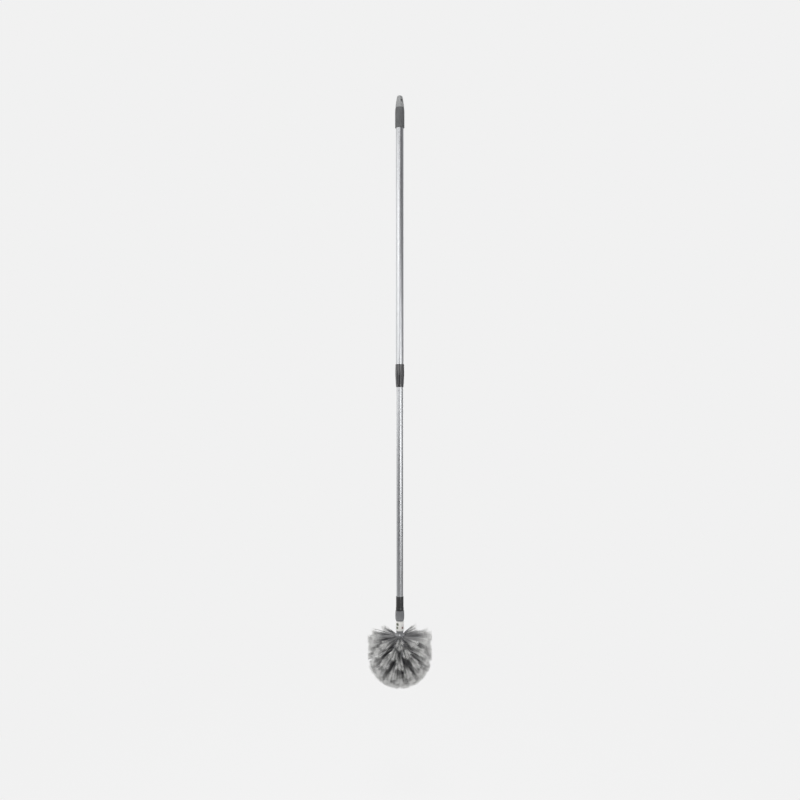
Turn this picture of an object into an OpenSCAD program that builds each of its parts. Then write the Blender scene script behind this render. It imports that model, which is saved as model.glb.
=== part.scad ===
// Cobweb brush: a two-part twist-lock pole with a screw-on brush head.
// The origin is the centre of the hanging hole. +Z runs up the pole, away from the bristles.

/* [Tubes] */
// Outside diameter of the upper tube
outer_tube_d = 22; // [21.6:0.1:24]
// Wall of the upper tube
outer_tube_wall = 0.5; // [0.4:0.05:0.6]
// Length of the upper tube
outer_tube_len = 764; // [600:1:900]
// Outside diameter of the lower tube, which slides in the upper one
inner_tube_d = 19; // [17:0.1:19.4]
// Wall of the lower tube
inner_tube_wall = 0.5; // [0.4:0.05:0.8]
// Length of the lower tube that shows at full reach
pulled_out = 594; // [560:1:700]
// Length of the lower tube that stays inside the joint at full reach
lap = 71; // [45:1:120]
// Radial clearance of push fits and running fits
fit_gap = 0.05; // [0.03:0.01:0.08]
// Gap between faces that move on each other
face_gap = 0.3; // [0.2:0.05:0.5]

/* [End cap] */
// Height of the nose above the upper tube
nose_len = 35; // [32:0.5:45]
// How far the nose stands out past the upper tube's wall
nose_step = 1; // [0.8:0.1:1.5]
// Diameter of the nose where its rounded top begins
nose_tip_d = 16.2; // [15:0.2:18]
// Height of the rounded top
nose_dome = 5; // [3:0.5:6]
// Distance from the top of the nose to the middle of the hanging hole
hang_hole_drop = 15; // [13:0.5:17]
// Diameter of the hanging hole
hang_hole_d = 8; // [6:0.5:9]
// Chamfer on both edges of the hanging hole
hang_hole_chamfer = 1; // [0.5:0.1:1.2]
// Thickness of the nose between its two slanted flats, at the very top
pinch_t = 9; // [7:0.5:12]
// Drop from the middle of the hanging hole to where the flats reach the full radius
flat_drop = 12.5; // [10:0.5:15]
// Length of the plug inside the upper tube
plug_len = 30; // [20:1:40]
// Wall of the plug
plug_wall = 2; // [1.5:0.1:3]

/* [Grip] */
// Length of the grip sleeve
grip_len = 57; // [45:1:80]
// Wall of the grip sleeve at its fullest
grip_wall = 2.2; // [1.6:0.05:3]
// Wall of the grip sleeve at its upper edge
grip_top_wall = 1.2; // [0.9:0.1:1.5]
// Number of flutes round the grip sleeve
grip_flutes = 16; // [12:1:20]
// Width of the round cutter of a grip flute
grip_flute_d = 3.2; // [2:0.2:3.6]
// Depth of a grip flute
grip_flute_depth = 0.45; // [0.2:0.05:0.7]

/* [Joint collar] */
// Length of the collar
collar_len = 65; // [58:1:80]
// Length of the collar that laps over the upper tube
collar_cover = 36; // [30:1:42]
// Wall of the collar at its fullest
collar_wall = 1.9; // [1.6:0.05:2.5]
// Wall of the collar's top rim
collar_rim_wall = 1.5; // [0.9:0.05:1.6]
// Height of the collar's top rim
collar_rim_h = 7; // [4:0.5:9]
// Wall of the collar's lip round the lower tube
lip_wall = 1.4; // [1:0.05:1.6]
// Height of the lip
lip_h = 6; // [4:0.5:8]
// Number of flutes round the collar
collar_flutes = 9; // [7:1:10]
// Width of the round cutter of a collar flute
collar_flute_d = 10; // [6:0.5:12]
// Depth of a collar flute
collar_flute_depth = 0.7; // [0.2:0.05:0.8]
// Thickness of the guide bush's flange under the upper tube
bush_flange_t = 2; // [1:0.1:3]

/* [Twist lock] */
// Length of the expanding sleeve
sleeve_len = 34; // [30:1:44]
// Thickness of the expanding sleeve's floor
sleeve_floor = 4; // [3:0.5:6]
// Height of the straight bore above the floor
sleeve_straight = 10; // [6:0.5:12]
// Diameter of the straight bore
sleeve_bore_d = 11; // [9:0.5:12]
// Wall of the expanding sleeve at its mouth
sleeve_mouth_wall = 1.8; // [1.4:0.1:2.4]
// Number of slits in the expanding sleeve
slit_count = 3; // [2:1:4]
// Width of a slit
slit_w = 2.4; // [2:0.1:3]
// Height of the uncut ring at the foot of the expanding sleeve
slit_foot = 12; // [8:1:16]
// Depth of the cone nut in the expanding sleeve
wedge_depth = 17; // [12:0.5:18]
// Height of the cone nut's head above the expanding sleeve
wedge_head_h = 4; // [3:0.5:6]
// Upward travel of the cone nut when the lock is let go
wedge_travel = 2.5; // [1.5:0.1:3.5]
// Diameter of the spindle's stud
stud_d = 6; // [5:0.5:7]
// Thickness of the spindle's flange on the lower tube
spindle_flange_t = 3; // [2:0.5:5]
// Length of the spindle's plug in the lower tube
spindle_plug_len = 25; // [15:1:35]
// Thickness of the stop clip
clip_t = 1.2; // [0.8:0.1:2]
// Width of the stop clip's ring
clip_ring_w = 2.6; // [2:0.1:3]
// Depth of the clip's groove in the stud
clip_groove = 0.6; // [0.4:0.05:0.8]
// Height of the stud above its clip
stud_end = 2; // [1:0.5:4]

/* [Thread tip] */
// Length of the sleeve over the lower tube's end
tip_sleeve_len = 31.5; // [25:0.5:45]
// Wall of that sleeve
tip_wall = 1.1; // [0.9:0.05:1.5]
// Height of the tip's flange
tip_flange_h = 8.5; // [6.5:0.5:12]
// How far the flange stands out past the sleeve
tip_flange_step = 0.55; // [0.3:0.05:1]
// Thickness of the flange's floor below the lower tube's end
tip_floor = 5; // [3:0.5:6]
// Outside diameter of the screw stub
stub_d = 20; // [18:0.2:21]
// Length of the screw stub
stub_len = 32; // [24:1:36]
// Wall of the hollow stub and of the plug above it
stub_wall = 3; // [2:0.1:4]

/* [Brush core] */
// Length of the ribbed socket
socket_len = 28; // [24:0.5:34]
// Wall of the socket at its fullest
socket_wall = 2.7; // [2.4:0.1:3.6]
// Wall of the socket at its mouth
socket_mouth_wall = 2.3; // [2:0.1:2.4]
// Number of grooves round the socket
socket_grooves = 10; // [8:1:14]
// Width of the round cutter of a socket groove
socket_groove_d = 5; // [3:0.5:6]
// Depth of a socket groove
socket_groove_depth = 0.8; // [0.4:0.1:1.2]
// Spare depth of the socket below the screw stub
socket_spare = 2; // [1:0.5:4]
// Diameter of the neck under the label
neck_d = 21.7; // [21:0.1:22.4]
// Length of the neck
neck_len = 29; // [20:0.5:36]
// Diameter of the waist between neck and hub
waist_d = 19.6; // [18:0.2:21]
// Length of the waist
waist_len = 7; // [4:0.5:9]
// Diameter of the hub under its shoulder
hub_top_d = 28; // [27:0.5:31]
// Diameter of the hub's ball end, on which the flank of the hub runs out smoothly
hub_d = 40; // [39:0.5:44]
// Height of the sloping shoulder on top of the hub
shoulder_h = 5.5; // [4:0.5:7]
// Length of the hub from its shoulder's top to the middle of its ball end
hub_len = 56; // [50:1:64]
// Thickness of the label
label_t = 0.2; // [0.1:0.05:0.4]
// Bare neck above and below the label
label_margin = 1; // [0.5:0.5:3]

/* [Tufts] */
// Widest diameter of the trimmed bristles
head_d = 185; // [150:1:220]
// Drop from the hub's top to where the straight side of the bristles ends
side_drop = 69; // [62:1:80]
// Height of the rounded end of the bristles
end_h = 85; // [70:1:100]
// Drop from the hub's top to the first row of tufts
first_row = 10; // [9.5:0.5:12]
// Distance between the rows on the hub's flank
row_pitch = 13; // [11:0.5:15]
// Turn of the first row about the pole
row_turn = 15; // [0:1:30]
// Diameter of a tuft hole
tuft_hole_d = 4; // [3.9:0.1:4.3]
// Depth of a tuft hole
tuft_hole_depth = 5.5; // [4:0.5:6]
// Depth of the hole of the middle tuft
end_hole_depth = 3.5; // [3:0.5:4]
// Diameter of a tuft at its tip
tuft_tip_d = 17; // [12:0.5:22]
// Height of the domed tip of a tuft
tuft_dome = 3; // [1:0.5:5]
// Thickness of the wire anchor under a tuft
anchor_t = 0.5; // [0.3:0.1:0.8]
// Width of a wire anchor
anchor_w = 1.6; // [1:0.1:2]
// Length of a wire anchor
anchor_len = 3.3; // [2.4:0.1:3.5]

/* [Hidden] */
$fn = 72;

// Tilt above the horizontal and number of tufts of each row, from the top row down
row_tilt = [0, -8, -16, -23, -39, -55, -72, -90];
row_count = [12, 12, 12, 12, 12, 12, 6, 1];
// Rows on the flank of the hub: the others fan out from the middle of its ball end
flank_rows = 3;

// Radii
outer_r = outer_tube_d / 2;
outer_bore_r = outer_r - outer_tube_wall;
inner_r = inner_tube_d / 2;
inner_bore_r = inner_r - inner_tube_wall;
nose_r = outer_r + nose_step;
stud_r = stud_d / 2;
stub_r = stub_d / 2;
socket_bore_r = stub_r + fit_gap;
neck_r = neck_d / 2;
waist_r = waist_d / 2;
hub_top_r = hub_top_d / 2;
hub_r = hub_d / 2;
head_r = head_d / 2;

// Heights, from the top down
nose_top_z = hang_hole_drop;
tube_top_z = nose_top_z - nose_len;
tube_end_z = tube_top_z - outer_tube_len;
collar_top_z = tube_end_z + collar_cover;
collar_end_z = collar_top_z - collar_len;
lower_top_z = collar_end_z + lap;
sleeve_z = lower_top_z + spindle_flange_t + face_gap;
bush_top_z = sleeve_z - face_gap;
bush_end_z = tube_end_z - bush_flange_t;
wedge_top_z = sleeve_z + sleeve_len + wedge_head_h;
clip_z = wedge_top_z + wedge_travel + face_gap;
stud_top_z = clip_z + clip_t + stud_end;
tip_top_z = collar_end_z - pulled_out;
tip_flange_z = tip_top_z - tip_sleeve_len;
tip_face_z = tip_flange_z - tip_flange_h;
lower_end_z = tip_face_z + tip_floor;
stub_end_z = tip_face_z - stub_len;
socket_z = tip_face_z - face_gap;
neck_z = socket_z - socket_len;
waist_z = neck_z - neck_len;
hub_z = waist_z - waist_len;
ball_z = hub_z - hub_len;
side_z = hub_z - side_drop;

// A small edge break and a chamfer, used all over
edge = 0.5;
lead_in = 1;
cut = 1;

// Revolves an outline of [radius, height] points
module turned(outline) {
    rotate_extrude() polygon(outline);
}

// Copies the children evenly round the pole
module around(count, turn = 0) {
    for (i = [0 : count - 1]) rotate([0, 0, turn + i * 360 / count]) children();
}

// Cuts flutes that run along the pole. out_r is the middle of each round cutter, and outline
// is the cutter's own outline of [radius, height] points
module fluted(count, out_r, outline) {
    around(count) translate([out_r, 0, 0]) turned(outline);
}

// A straight flute's cutter, which leaves the surface over the given run at both ends
function straight_cutter(d, depth, top_z, end_z, run) =
    let (r = d / 2, clear_r = r - depth - edge / 2)
        [[0, top_z + run], [clear_r, top_z + run], [r, top_z],
         [r, end_z], [clear_r, end_z - run], [0, end_z - run]];

// END CAP

nose_rim = 3;
nose_steps = 8;
nose_bow = 1.3;
dome_z = nose_top_z - nose_dome;
nose_side = [
    for (i = [0 : nose_steps])
        let (t = i / nose_steps, z0 = tube_top_z + nose_rim)
            [nose_r - (nose_r - nose_tip_d / 2) * pow(t, nose_bow), z0 + (dome_z - z0) * t]
];
nose_top = [
    for (i = [1 : nose_steps])
        let (a = 90 * i / nose_steps)
            [nose_tip_d / 2 * cos(a), dome_z + nose_dome * sin(a)]
];

// The flats lean in towards the top of the nose, and run out on its swelling side
flat_lean = atan2(nose_r - pinch_t / 2, nose_top_z + flat_drop);

// Puts the children on a flat, with +Z up along it and +Y out of it
module on_flat() {
    translate([0, nose_r, -flat_drop]) rotate([flat_lean, 0, 0]) children();
}

module flat_cut() {
    width = 3 * nose_r;
    on_flat() translate([-width / 2, 0, 0]) cube([width, width, 2 * nose_len]);
}

module hang_hole() {
    rotate([90, 0, 0]) cylinder(d = hang_hole_d, h = 3 * nose_r, center = true);
}

// The countersink round the hole's rim, square to the flat
module hole_rim() {
    on_flat()
        translate([0, -hang_hole_chamfer, flat_drop / cos(flat_lean)])
            rotate([-90, 0, 0])
                cylinder(r1 = hang_hole_d / 2, r2 = hang_hole_d / 2 + 2 * hang_hole_chamfer,
                         h = 2 * hang_hole_chamfer);
}

module hang_cap() {
    plug_r = outer_bore_r - fit_gap;
    plug_end_z = tube_top_z - plug_len;
    color("darkgray") difference() {
        turned(concat(
            [[plug_r - plug_wall, tube_top_z], [plug_r - plug_wall, plug_end_z],
             [plug_r - lead_in, plug_end_z], [plug_r, plug_end_z + lead_in],
             [plug_r, tube_top_z], [nose_r, tube_top_z]],
            nose_side, nose_top, [[0, tube_top_z]]
        ));
        for (side = [0, 1]) mirror([0, side, 0]) {
            flat_cut();
            hole_rim();
        }
        hang_hole();
    }
}

// GRIP

module top_grip() {
    bore_r = outer_r + fit_gap;
    full_r = outer_r + grip_wall;
    top_r = outer_r + grip_top_wall;
    end_z = tube_top_z - grip_len;
    swell = 14;
    flute_run = 4;
    color("dimgray") difference() {
        turned([
            [bore_r, tube_top_z], [top_r - edge, tube_top_z], [top_r, tube_top_z - edge],
            [(top_r + full_r) / 2 + edge / 2, tube_top_z - swell / 2], [full_r, tube_top_z - swell],
            [full_r, end_z + 3 * edge], [full_r - edge, end_z], [bore_r, end_z]
        ]);
        fluted(
            grip_flutes, full_r + grip_flute_d / 2 - grip_flute_depth,
            straight_cutter(
                grip_flute_d, grip_flute_depth, tube_top_z - swell - flute_run,
                end_z + 2 * flute_run, flute_run
            )
        );
    }
}

// TUBES

module tube(r, wall, z_end, z_top) {
    translate([0, 0, z_end]) difference() {
        cylinder(r = r, h = z_top - z_end);
        translate([0, 0, -cut]) cylinder(r = r - wall, h = z_top - z_end + 2 * cut);
    }
}

module outer_tube() {
    color("silver") tube(outer_r, outer_tube_wall, tube_end_z, tube_top_z);
}

module inner_tube() {
    color("silver") tube(inner_r, inner_tube_wall, lower_end_z, lower_top_z);
}

// JOINT COLLAR

module joint_collar() {
    tube_bore_r = outer_r + fit_gap;
    lip_bore_r = inner_r + fit_gap;
    rim_r = outer_r + collar_rim_wall;
    full_r = outer_r + collar_wall;
    lip_r = inner_r + lip_wall;
    groove = 0.25;
    body_top_z = collar_top_z - collar_rim_h - 2 * edge;
    full_top_z = body_top_z - 9;
    full_end_z = tube_end_z + 6;
    taper_end_z = collar_end_z + lip_h + 2 * edge;
    taper_r = lip_r + 2 * groove;
    taper_tilt = atan2(full_r - taper_r, full_end_z - taper_end_z);
    flute_out = taper_r + collar_flute_d / 2 - collar_flute_depth;
    color("darkslategray") difference() {
        turned([
            [tube_bore_r, collar_top_z], [rim_r - edge, collar_top_z], [rim_r, collar_top_z - edge],
            [rim_r, collar_top_z - collar_rim_h], [rim_r - groove, collar_top_z - collar_rim_h],
            [rim_r - groove, body_top_z], [rim_r + groove / 2, body_top_z],
            [full_r, full_top_z], [full_r, full_end_z], [taper_r, taper_end_z],
            [lip_r, taper_end_z], [lip_r, collar_end_z + lip_h], [lip_r + groove, collar_end_z + lip_h],
            [lip_r, collar_end_z + edge], [lip_r - edge, collar_end_z], [lip_bore_r, collar_end_z],
            [lip_bore_r, bush_end_z], [tube_bore_r, bush_end_z]
        ]);
        around(collar_flutes)
            translate([flute_out, 0, taper_end_z + 2 * edge])
                rotate([0, taper_tilt, 0]) cylinder(d = collar_flute_d, h = collar_len);
    }
}

module guide_bush() {
    bush_r = outer_bore_r - fit_gap;
    bore_r = inner_r + fit_gap;
    color("whitesmoke") turned([
        [bore_r, bush_end_z], [outer_r, bush_end_z], [outer_r, tube_end_z], [bush_r, tube_end_z],
        [bush_r, bush_top_z], [bore_r, bush_top_z]
    ]);
}

// TWIST LOCK

sleeve_r = outer_bore_r - fit_gap;
mouth_r = sleeve_r - sleeve_mouth_wall;
cone_z = sleeve_z + sleeve_floor + sleeve_straight;
mouth_z = sleeve_z + sleeve_len;
cone_slope = (mouth_r - sleeve_bore_d / 2) / (mouth_z - cone_z);

module expander_sleeve() {
    color("ivory") difference() {
        turned([
            [stud_r + fit_gap, sleeve_z], [sleeve_r - edge, sleeve_z], [sleeve_r, sleeve_z + edge],
            [sleeve_r, mouth_z - lead_in], [sleeve_r - lead_in / 2, mouth_z], [mouth_r, mouth_z],
            [sleeve_bore_d / 2, cone_z], [sleeve_bore_d / 2, sleeve_z + sleeve_floor],
            [stud_r + fit_gap, sleeve_z + sleeve_floor]
        ]);
        around(slit_count)
            translate([0, -slit_w / 2, sleeve_z + slit_foot])
                cube([sleeve_r + cut, slit_w, sleeve_len]);
    }
}

module cone_nut() {
    foot_z = mouth_z - wedge_depth;
    foot_r = mouth_r - wedge_depth * cone_slope - face_gap;
    top_r = mouth_r - face_gap;
    head_r = sleeve_r - face_gap - edge;
    key_w = slit_w - 2 * face_gap;
    color("goldenrod") difference() {
        union() {
            turned([
                [0, foot_z], [foot_r, foot_z], [top_r, mouth_z], [top_r, mouth_z + face_gap],
                [head_r, mouth_z + face_gap + edge], [head_r, wedge_top_z - edge],
                [head_r - edge, wedge_top_z], [0, wedge_top_z]
            ]);
            around(slit_count)
                translate([0, -key_w / 2, foot_z])
                    cube([head_r, key_w, wedge_depth + wedge_head_h / 2]);
        }
        translate([0, 0, foot_z - cut])
            cylinder(r = stud_r + fit_gap, h = wedge_top_z - foot_z + 2 * cut);
    }
}

module lock_spindle() {
    plug_r = inner_bore_r - fit_gap;
    plug_z = lower_top_z - spindle_plug_len;
    flange_top_z = lower_top_z + spindle_flange_t;
    groove_r = stud_r - clip_groove;
    color("dimgray") turned([
        [0, plug_z], [plug_r - lead_in, plug_z], [plug_r, plug_z + lead_in],
        [plug_r, lower_top_z], [inner_r, lower_top_z], [inner_r, flange_top_z],
        [stud_r, flange_top_z], [stud_r, clip_z], [groove_r, clip_z],
        [groove_r, clip_z + clip_t], [stud_r, clip_z + clip_t],
        [stud_r, stud_top_z - edge], [stud_r - edge, stud_top_z], [0, stud_top_z]
    ]);
}

module stop_clip() {
    bore_r = stud_r - clip_groove + fit_gap;
    ring_r = bore_r + clip_ring_w;
    color("gainsboro") translate([0, 0, clip_z + fit_gap]) difference() {
        cylinder(r = ring_r, h = clip_t - 2 * fit_gap);
        translate([0, 0, -cut]) cylinder(r = bore_r, h = clip_t + 2 * cut);
        translate([0, -bore_r / 2, -cut]) cube([ring_r + cut, bore_r, clip_t + 2 * cut]);
    }
}

// THREAD TIP

module thread_tip() {
    slot_out_r = inner_r + fit_gap;
    slot_in_r = inner_bore_r - fit_gap;
    sleeve_out_r = inner_r + tip_wall;
    flange_r = sleeve_out_r + tip_flange_step;
    plug_top_z = tip_top_z - 4 * lead_in;
    core_r = min(stub_r, slot_in_r) - stub_wall;
    color("black") turned([
        [slot_out_r, lower_end_z], [slot_out_r, tip_top_z], [sleeve_out_r - edge, tip_top_z],
        [sleeve_out_r, tip_top_z - edge], [sleeve_out_r, tip_flange_z + edge],
        [flange_r, tip_flange_z], [flange_r, tip_face_z], [stub_r, tip_face_z],
        [stub_r, stub_end_z + lead_in], [stub_r - lead_in, stub_end_z], [core_r, stub_end_z],
        [core_r, lower_end_z], [core_r, plug_top_z], [slot_in_r - lead_in, plug_top_z],
        [slot_in_r, plug_top_z - lead_in], [slot_in_r, lower_end_z]
    ]);
}

// BRUSH CORE

// The flank leans out by just as much as makes it run out on the ball end
flank_top_z = hub_z - shoulder_h;
flank_len = flank_top_z - ball_z;
flank_lean = asin(hub_r / norm([hub_top_r, flank_len])) - atan2(hub_top_r, flank_len);

// Height on the pole's axis from which a row's tufts point
function row_z(row) = row < flank_rows ? hub_z - first_row - row * row_pitch : ball_z;

// Distance along a tuft from the pole's axis to the hub's surface
function skin(row) =
    row >= flank_rows ? hub_r
    : (hub_top_r + (flank_top_z - row_z(row)) * tan(flank_lean))
        / (cos(row_tilt[row]) + sin(row_tilt[row]) * tan(flank_lean));

function hole_depth(row) = row_tilt[row] == -90 ? end_hole_depth : tuft_hole_depth;

// Distance along a tuft to the trimmed outline: straight below the top row, then an ellipse
function reach(row) =
    let (
        tilt = row_tilt[row],
        z = row_z(row),
        flat_reach = tilt == -90 ? 2 * head_r : head_r / cos(tilt),
        a = pow(cos(tilt) / head_r, 2) + pow(sin(tilt) / end_h, 2),
        b = (z - side_z) * sin(tilt) / pow(end_h, 2),
        c = pow((z - side_z) / end_h, 2) - 1
    )
    z + flat_reach * sin(tilt) > side_z ? flat_reach : (sqrt(b * b - a * c) - b) / a;

// Every second row stands in the gaps of the one above
function row_start(row) = row_turn + (row % 2) * 180 / row_count[row];

// Puts the children, drawn along +Z from the pole's axis, at each tuft of a row
module each_tuft(row) {
    around(row_count[row], row_start(row))
        translate([0, 0, row_z(row)])
            rotate([0, 90 - row_tilt[row], 0]) children();
}

module brush_core() {
    mouth_out_r = socket_bore_r + socket_mouth_wall;
    full_r = socket_bore_r + socket_wall;
    groove_run = 3;
    bore_end_z = stub_end_z - face_gap - socket_spare;
    full_z = socket_z - socket_len / 2;
    foot_z = neck_z + 3.5;
    ball_steps = 12;
    ball = [
        for (i = [0 : ball_steps])
            let (a = flank_lean - (90 + flank_lean) * i / ball_steps)
                [hub_r * cos(a), ball_z + hub_r * sin(a)]
    ];
    color("gray") difference() {
        turned(concat(
            [[0, bore_end_z], [socket_bore_r, bore_end_z], [socket_bore_r, socket_z - edge],
             [socket_bore_r + edge, socket_z], [mouth_out_r - edge, socket_z],
             [mouth_out_r, socket_z - edge], [full_r, full_z + 5], [full_r, full_z - 3],
             [mouth_out_r, foot_z], [neck_r + edge, neck_z + edge], [neck_r, neck_z],
             [neck_r, waist_z], [waist_r, waist_z - edge], [waist_r, hub_z],
             [hub_top_r - 2 * edge, flank_top_z + 2 * edge], [hub_top_r, flank_top_z]],
            ball
        ));
        fluted(
            socket_grooves, full_r + socket_groove_d / 2 - socket_groove_depth,
            straight_cutter(
                socket_groove_d, socket_groove_depth, socket_z - 2 * groove_run,
                foot_z + groove_run, groove_run
            )
        );
        for (row = [0 : len(row_tilt) - 1])
            each_tuft(row)
                translate([0, 0, skin(row) - hole_depth(row)])
                    cylinder(d = tuft_hole_d, h = hub_r);
    }
}

module neck_label() {
    label_r = neck_r + fit_gap;
    color("white") tube(
        label_r + label_t, label_t, waist_z + label_margin, neck_z - label_margin
    );
}

// TUFTS

module tuft_anchors() {
    color("gainsboro") for (row = [0 : len(row_tilt) - 1])
        each_tuft(row)
            translate([-anchor_w / 2, -anchor_len / 2, skin(row) - hole_depth(row)])
                cube([anchor_w, anchor_len, anchor_t]);
}

module tuft_row(row) {
    root = skin(row) - hole_depth(row) + anchor_t;
    root_r = tuft_hole_d / 2 - fit_gap;
    free = skin(row) + lead_in;
    tip = reach(row);
    tip_r = tuft_tip_d / 2;
    color("lightslategray") each_tuft(row)
        turned([
            [0, root], [root_r, root], [root_r, free], [tip_r, tip - tuft_dome],
            [tip_r * 0.8, tip - tuft_dome / 3], [tip_r * 0.4, tip], [0, tip]
        ]);
}

module tuft_row_1() tuft_row(0);
module tuft_row_2() tuft_row(1);
module tuft_row_3() tuft_row(2);
module tuft_row_4() tuft_row(3);
module tuft_row_5() tuft_row(4);
module tuft_row_6() tuft_row(5);
module tuft_row_7() tuft_row(6);
module end_tuft() tuft_row(7);

hang_cap();
top_grip();
outer_tube();
joint_collar();
guide_bush();
expander_sleeve();
cone_nut();
lock_spindle();
stop_clip();
inner_tube();
thread_tip();
brush_core();
neck_label();
tuft_anchors();
tuft_row_1();
tuft_row_2();
tuft_row_3();
tuft_row_4();
tuft_row_5();
tuft_row_6();
tuft_row_7();
end_tuft();
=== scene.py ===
# %% [markdown]
# # A cobweb brush on a twist-lock pole
# The tubes, the collar, the lock and the drilled brush core are exact CAD solids, which this
# lesson dresses in their real finishes. What CAD leaves plain is modelled here: the screw
# thread of the tip, the thread inside the socket, and the flagged filaments of the 79 tufts.

# %% Load the frame
import math

import bpy
import numpy as np
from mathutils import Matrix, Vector


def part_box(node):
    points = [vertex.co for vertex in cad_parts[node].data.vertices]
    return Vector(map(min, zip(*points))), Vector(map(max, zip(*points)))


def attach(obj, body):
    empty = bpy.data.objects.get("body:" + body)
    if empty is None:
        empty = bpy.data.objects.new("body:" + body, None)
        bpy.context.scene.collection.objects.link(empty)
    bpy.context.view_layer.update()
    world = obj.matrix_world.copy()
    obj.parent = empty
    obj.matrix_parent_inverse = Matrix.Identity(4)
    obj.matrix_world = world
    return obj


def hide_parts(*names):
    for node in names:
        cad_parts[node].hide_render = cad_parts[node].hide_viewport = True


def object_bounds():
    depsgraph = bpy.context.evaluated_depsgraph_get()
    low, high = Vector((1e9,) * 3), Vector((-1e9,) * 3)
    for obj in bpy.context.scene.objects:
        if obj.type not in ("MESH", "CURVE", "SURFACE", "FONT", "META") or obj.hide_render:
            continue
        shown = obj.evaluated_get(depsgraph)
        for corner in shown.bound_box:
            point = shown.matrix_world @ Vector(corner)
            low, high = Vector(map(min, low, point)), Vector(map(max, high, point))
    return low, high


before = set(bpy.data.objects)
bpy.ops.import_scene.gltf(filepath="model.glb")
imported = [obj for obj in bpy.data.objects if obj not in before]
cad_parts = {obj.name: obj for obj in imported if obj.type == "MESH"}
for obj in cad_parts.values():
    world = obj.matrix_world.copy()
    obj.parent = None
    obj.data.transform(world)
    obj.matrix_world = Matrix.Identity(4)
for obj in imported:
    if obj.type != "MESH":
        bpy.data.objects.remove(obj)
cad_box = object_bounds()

# %% [markdown]
# ## Units and places
# Sizes are written in millimetres and turned to metres once. The heights of the pieces could
# be typed in again, but they come from the frame, so that nothing here drifts away from the
# CAD model.

# %% Millimetres, and where the frame has its pieces
MM = 0.001


def low_z(node):
    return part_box(node)[0].z


def top_z(node):
    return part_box(node)[1].z


def radius_of(node):
    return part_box(node)[1].x


object_top = cad_box[1].z
object_low = cad_box[0].z
object_mid = (object_top + object_low) / 2
print("the brush is", round(object_top - object_low, 4), "m long")

# %% [markdown]
# ## The camera
# The photograph is taken from straight in front, level with the middle of the pole, with the
# hanging hole of the end cap turned to the right. The camera stands 2.2 m away, and the lens
# gives the pole the same share of the square picture.

# %% Place the camera
VIEW_AZIMUTH = math.radians(-45)
VIEW_DISTANCE = 2.2
VIEW_DROP = 0.8496
VIEW_RIGHT = 0.0006
SENSOR_MM = 36
LENS_MM = 34.85
to_camera = Vector((math.sin(VIEW_AZIMUTH), -math.cos(VIEW_AZIMUTH), 0))
to_right = Vector((math.cos(VIEW_AZIMUTH), math.sin(VIEW_AZIMUTH), 0))

camera = bpy.data.objects.new("camera", bpy.data.cameras.new("camera"))
camera.data.sensor_width = SENSOR_MM
camera.data.lens = LENS_MM
camera.location = to_camera * VIEW_DISTANCE + to_right * VIEW_RIGHT - Vector((0, 0, VIEW_DROP))
camera.rotation_euler = (-to_camera).to_track_quat("-Z", "Y").to_euler()
bpy.context.scene.collection.objects.link(camera)
bpy.context.scene.camera = camera
print("camera at", tuple(round(c, 3) for c in camera.location))

# %% [markdown]
# ## Colours and nodes
# Colours are picked as sRGB hex, as a paint card gives them, and Blender wants them linear.
# Every material below is built with one helper, which adds a node, sets it and links it. The
# sockets of a Mix node share their names, so the ones for colours are known by number.

# %% Helpers for materials
MIX_FACTOR, MIX_A, MIX_B, MIX_RESULT = 0, 6, 7, 2


def colour(hex_code):
    """Linear red, green, blue and alpha, by the curve that defines sRGB."""
    channels = [int(hex_code[i:i + 2], 16) / 255 for i in (1, 3, 5)]
    return (*[c / 12.92 if c <= 0.04045 else ((c + 0.055) / 1.055) ** 2.4 for c in channels], 1)


def add_node(tree, kind, inputs=None, **settings):
    node = tree.nodes.new(kind)
    for name, value in settings.items():
        setattr(node, name, value)
    for socket, value in (inputs or {}).items():
        if isinstance(value, bpy.types.NodeSocket):
            tree.links.new(value, node.inputs[socket])
        else:
            node.inputs[socket].default_value = value
    return node


def new_tree(name):
    material = bpy.data.materials.new(name)
    material.use_nodes = True
    material.node_tree.nodes.clear()
    return material, material.node_tree


def per_metre(size_mm):
    return 1 / (size_mm * MM)


print("mid grey #808080 is", round(colour("#808080")[0], 3), "in linear light")

# %% [markdown]
# ## The studio
# The brush hangs in front of a pale sweep. The background is the same pale grey from every
# side, because camera rays see it as plain light, and the floor takes a faint shadow. Steel
# mirrors its room, so the room matters as much as the lamps do. Reflections show the same
# pale sweep behind the brush, and a darker room in front of it, darkest low down and to the
# right of the camera, which draws the dark side of the tubes. A real room could be built for
# that, but one gradient that the backdrop and the far floor share does the same.

# %% The tone of the room
PALE = colour("#f1f1f1")
ROOM_DARK = colour("#7c7c7e")
CEILING_SHARE = 0.9
LEFT_SHARE = 0.5
DARK_UP_TO = -0.35
PALE_FROM = 0.6
light_side = (Vector((0, 0, CEILING_SHARE)) - to_camera - to_right * LEFT_SHARE).normalized()


def darkness(tree, direction):
    """1 toward the darker room in front, 0 toward the pale sweep behind."""
    behind = add_node(tree, "ShaderNodeVectorMath", {
        0: direction, 1: light_side,
    }, operation="DOT_PRODUCT")
    return add_node(tree, "ShaderNodeMapRange", {
        "Value": behind.outputs["Value"], "From Min": DARK_UP_TO, "From Max": PALE_FROM,
        "To Min": 1.0, "To Max": 0.0,
    }, interpolation_type="SMOOTHSTEP").outputs[0]


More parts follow.
